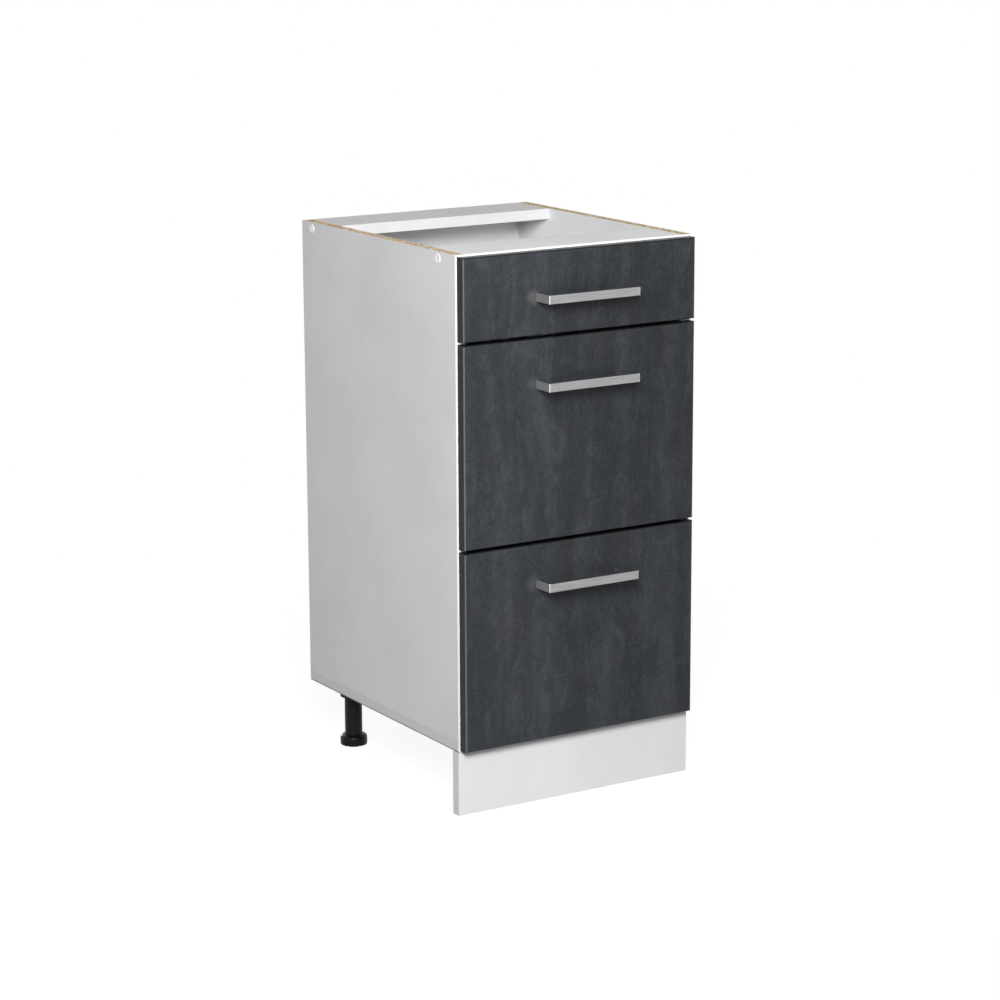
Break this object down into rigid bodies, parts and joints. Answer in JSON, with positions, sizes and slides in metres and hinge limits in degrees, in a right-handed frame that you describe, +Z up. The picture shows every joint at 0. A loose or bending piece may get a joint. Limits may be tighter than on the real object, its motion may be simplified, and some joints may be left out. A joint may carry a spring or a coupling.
{
  "type": "kitchen base unit with drawers",
  "caption": "Narrow white kitchen base unit on legs, with dark flat-fronted drawers over one another, bow handles, roller runners and a pull-off plinth.",
  "frame": {"origin": "on the floor, under the middle of the whole unit's box", "axes": "+X to the right seen from the front, +Y to the back, +Z up"},
  "size_m": [0.4024, 0.501, 0.816],
  "materials": {
    "white_board": "satin white melamine on chipboard",
    "back_board": "smooth light grey fibreboard",
    "drawer_board": "satin white melamine on chipboard",
    "dark_front": "satin dark slate with soft upright streaks",
    "handle_metal": "fine satin",
    "coated_steel": "smooth light grey powder coat",
    "zinc_steel": "bright zinc plating",
    "roller_nylon": "matte nylon",
    "black_plastic": "fine matte",
    "cap_plastic": "satin",
    "dowel_wood": "raw beech"
  },
  "bodies": {
    "carcass": {"side_panel_left": "white_board", "side_panel_right": "white_board", "bottom_panel": "white_board", "front_rail": "white_board", "rear_rail": "white_board", "back_panel": "back_board", "connector_screws": "zinc_steel", "cover_caps": "cap_plastic", "wooden_dowels": "dowel_wood", "back_panel_nails": "zinc_steel", "runner_screws": "zinc_steel", "leg_sockets": "black_plastic", "leg_socket_screws": "zinc_steel", "leg_front_right": "black_plastic", "leg_front_left": "black_plastic", "leg_rear_right": "black_plastic", "leg_rear_left": "black_plastic", "top_runner_left": "coated_steel", "top_runner_right": "coated_steel", "middle_runner_left": "coated_steel", "middle_runner_right": "coated_steel", "bottom_runner_left": "coated_steel", "bottom_runner_right": "coated_steel"},
    "plinth": {"plinth_panel": "white_board", "plinth_clips": "black_plastic", "plinth_clip_screws": "zinc_steel"},
    "foot_front_right": {"foot_front_right": "black_plastic"},
    "foot_front_left": {"foot_front_left": "black_plastic"},
    "foot_rear_right": {"foot_rear_right": "black_plastic"},
    "foot_rear_left": {"foot_rear_left": "black_plastic"},
    "top_drawer": {"top_drawer_front": "dark_front", "top_drawer_handle": "handle_metal", "top_drawer_screws": "zinc_steel", "top_drawer_side_left": "coated_steel", "top_drawer_side_right": "coated_steel", "top_drawer_base": "drawer_board", "top_drawer_back": "drawer_board", "top_drawer_brackets": "zinc_steel"},
    "top_drawer_rollers": {"top_drawer_rollers": "roller_nylon"},
    "top_runner_rollers": {"top_runner_rollers": "roller_nylon"},
    "middle_drawer": {"middle_drawer_front": "dark_front", "middle_drawer_handle": "handle_metal", "middle_drawer_screws": "zinc_steel", "middle_drawer_side_left": "coated_steel", "middle_drawer_side_right": "coated_steel", "middle_drawer_base": "drawer_board", "middle_drawer_back": "drawer_board", "middle_drawer_brackets": "zinc_steel"},
    "middle_drawer_rollers": {"middle_drawer_rollers": "roller_nylon"},
    "middle_runner_rollers": {"middle_runner_rollers": "roller_nylon"},
    "bottom_drawer": {"bottom_drawer_front": "dark_front", "bottom_drawer_handle": "handle_metal", "bottom_drawer_screws": "zinc_steel", "bottom_drawer_side_left": "coated_steel", "bottom_drawer_side_right": "coated_steel", "bottom_drawer_base": "drawer_board", "bottom_drawer_back": "drawer_board", "bottom_drawer_brackets": "zinc_steel"},
    "bottom_drawer_rollers": {"bottom_drawer_rollers": "roller_nylon"},
    "bottom_runner_rollers": {"bottom_runner_rollers": "roller_nylon"}
  },
  "joints": [
    {"name": "top_drawer_slide", "type": "slide", "parent": "carcass", "child": "top_drawer", "axis": [0, -1, 0], "range_m": [0, 0.32]},
    {"name": "top_drawer_rollers_turn", "type": "hinge", "parent": "top_drawer", "child": "top_drawer_rollers", "pos_m": [0, 0.1705, 0.7133], "axis": [1, 0, 0], "continuous": true},
    {"name": "top_runner_rollers_turn", "type": "hinge", "parent": "carcass", "child": "top_runner_rollers", "pos_m": [0, -0.1715, 0.714], "axis": [1, 0, 0], "continuous": true},
    {"name": "middle_drawer_slide", "type": "slide", "parent": "carcass", "child": "middle_drawer", "axis": [0, -1, 0], "range_m": [0, 0.32]},
    {"name": "middle_drawer_rollers_turn", "type": "hinge", "parent": "middle_drawer", "child": "middle_drawer_rollers", "pos_m": [0, 0.1705, 0.4393], "axis": [1, 0, 0], "continuous": true},
    {"name": "middle_runner_rollers_turn", "type": "hinge", "parent": "carcass", "child": "middle_runner_rollers", "pos_m": [0, -0.1715, 0.44], "axis": [1, 0, 0], "continuous": true},
    {"name": "bottom_drawer_slide", "type": "slide", "parent": "carcass", "child": "bottom_drawer", "axis": [0, -1, 0], "range_m": [0, 0.32]},
    {"name": "bottom_drawer_rollers_turn", "type": "hinge", "parent": "bottom_drawer", "child": "bottom_drawer_rollers", "pos_m": [0, 0.1705, 0.1413], "axis": [1, 0, 0], "continuous": true},
    {"name": "bottom_runner_rollers_turn", "type": "hinge", "parent": "carcass", "child": "bottom_runner_rollers", "pos_m": [0, -0.1715, 0.142], "axis": [1, 0, 0], "continuous": true},
    {"name": "foot_front_right_thread", "type": "slide", "parent": "carcass", "child": "foot_front_right", "axis": [0, 0, -1], "range_m": [0, 0.02]},
    {"name": "foot_front_left_thread", "type": "slide", "parent": "carcass", "child": "foot_front_left", "axis": [0, 0, -1], "range_m": [0, 0.02]},
    {"name": "foot_rear_right_thread", "type": "slide", "parent": "carcass", "child": "foot_rear_right", "axis": [0, 0, -1], "range_m": [0, 0.02]},
    {"name": "foot_rear_left_thread", "type": "slide", "parent": "carcass", "child": "foot_rear_left", "axis": [0, 0, -1], "range_m": [0, 0.02]},
    {"name": "plinth_pull_off", "type": "slide", "parent": "carcass", "child": "plinth", "axis": [0, -1, 0], "range_m": [0, 0.12]}
  ],
  "couplings": [
    {"joint": "top_drawer_rollers_turn", "follows": "top_drawer_slide", "rad_per_m": 100},
    {"joint": "top_runner_rollers_turn", "follows": "top_drawer_slide", "rad_per_m": 100},
    {"joint": "middle_drawer_rollers_turn", "follows": "middle_drawer_slide", "rad_per_m": 100},
    {"joint": "middle_runner_rollers_turn", "follows": "middle_drawer_slide", "rad_per_m": 100},
    {"joint": "bottom_drawer_rollers_turn", "follows": "bottom_drawer_slide", "rad_per_m": 100},
    {"joint": "bottom_runner_rollers_turn", "follows": "bottom_drawer_slide", "rad_per_m": 100}
  ]
}
